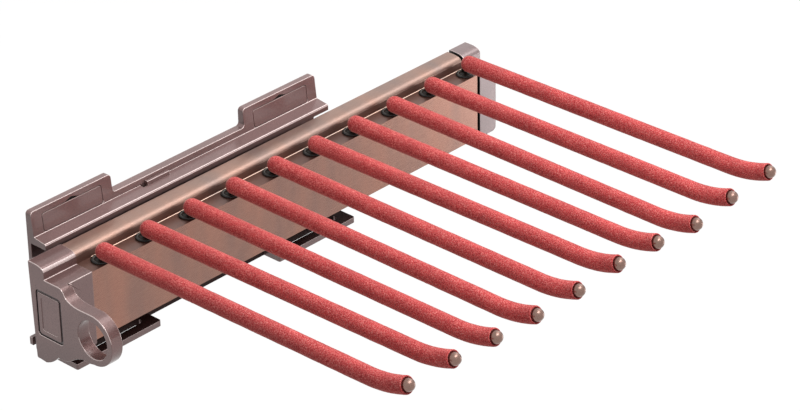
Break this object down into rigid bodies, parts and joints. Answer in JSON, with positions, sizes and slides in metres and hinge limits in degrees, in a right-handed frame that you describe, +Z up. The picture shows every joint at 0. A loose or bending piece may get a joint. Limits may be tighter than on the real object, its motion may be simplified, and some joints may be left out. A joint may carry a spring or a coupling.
{
  "type": "pull-out trouser rack",
  "caption": "Side-mounted pull-out trouser rack: a wall bracket with a ball slide carries a rail with a ring handle and a row of flocked arms that rise at their tips.",
  "frame": {"origin": "middle of the bracket's wall face, level with the slide's centre line", "axes": "+X out from the wall towards the tips of the arms, +Y along the rail away from the handle, +Z up"},
  "size_m": [0.349, 0.461, 0.1148],
  "materials": {
    "moulded_brown": "satin metallic coffee brown moulding",
    "end_cap_brown": "satin metallic coffee brown moulding, lighter",
    "bronze_aluminium": "brushed and anodised in bronze, grain along the rail",
    "red_flock": "short dense flock, dusty red",
    "knob_bronze": "satin bronze",
    "zinc_steel": "zinc plated",
    "cage_steel": "plain",
    "black_steel": "black oxide",
    "grey_washer": "smooth grey-green moulding"
  },
  "bodies": {
    "wall_side": {"bracket_slide_screw_front": "zinc_steel", "bracket_slide_screw_rear": "zinc_steel", "latch_tongue": "moulded_brown", "screw_cover_front": "moulded_brown", "screw_cover_rear": "moulded_brown", "slide_outer": "zinc_steel", "wall_bracket": "moulded_brown", "wall_screw_front": "zinc_steel", "wall_screw_rear": "zinc_steel"},
    "outer_cage": {"ball_cage_outer": "cage_steel"},
    "middle_slide": {"slide_middle": "zinc_steel"},
    "inner_cage": {"ball_cage_inner": "cage_steel"},
    "rack": {"handle_cap": "moulded_brown", "handle_inset": "moulded_brown", "nut_bar": "zinc_steel", "rail_end_cap": "end_cap_brown", "rail_profile": "bronze_aluminium", "rail_slide_screw_front": "zinc_steel", "rail_slide_screw_rear": "zinc_steel", "slide_inner": "zinc_steel", "arm_knob_01": "knob_bronze", "arm_knob_02": "knob_bronze", "arm_knob_03": "knob_bronze", "arm_knob_04": "knob_bronze", "arm_knob_05": "knob_bronze", "arm_knob_06": "knob_bronze", "arm_knob_07": "knob_bronze", "arm_knob_08": "knob_bronze", "arm_knob_09": "knob_bronze", "arm_knob_10": "knob_bronze", "arm_rod_01": "black_steel", "arm_rod_02": "black_steel", "arm_rod_03": "black_steel", "arm_rod_04": "black_steel", "arm_rod_05": "black_steel", "arm_rod_06": "black_steel", "arm_rod_07": "black_steel", "arm_rod_08": "black_steel", "arm_rod_09": "black_steel", "arm_rod_10": "black_steel", "arm_sleeve_01": "red_flock", "arm_sleeve_02": "red_flock", "arm_sleeve_03": "red_flock", "arm_sleeve_04": "red_flock", "arm_sleeve_05": "red_flock", "arm_sleeve_06": "red_flock", "arm_sleeve_07": "red_flock", "arm_sleeve_08": "red_flock", "arm_sleeve_09": "red_flock", "arm_sleeve_10": "red_flock", "arm_washer_01": "grey_washer", "arm_washer_02": "grey_washer", "arm_washer_03": "grey_washer", "arm_washer_04": "grey_washer", "arm_washer_05": "grey_washer", "arm_washer_06": "grey_washer", "arm_washer_07": "grey_washer", "arm_washer_08": "grey_washer", "arm_washer_09": "grey_washer", "arm_washer_10": "grey_washer"}
  },
  "joints": [
    {"name": "middle_slide", "type": "slide", "parent": "wall_side", "child": "middle_slide", "axis": [0, -1, 0], "range_m": [0, 0.14]},
    {"name": "rack_slide", "type": "slide", "parent": "middle_slide", "child": "rack", "axis": [0, -1, 0], "range_m": [0, 0.14]},
    {"name": "outer_cage_roll", "type": "slide", "parent": "wall_side", "child": "outer_cage", "axis": [0, -1, 0], "range_m": [0, 0.07]},
    {"name": "inner_cage_roll", "type": "slide", "parent": "middle_slide", "child": "inner_cage", "axis": [0, -1, 0], "range_m": [0, 0.07]}
  ],
  "couplings": [
    {"joint": "rack_slide", "follows": "middle_slide", "ratio": 1},
    {"joint": "outer_cage_roll", "follows": "middle_slide", "ratio": 0.5},
    {"joint": "inner_cage_roll", "follows": "middle_slide", "ratio": 0.5}
  ]
}
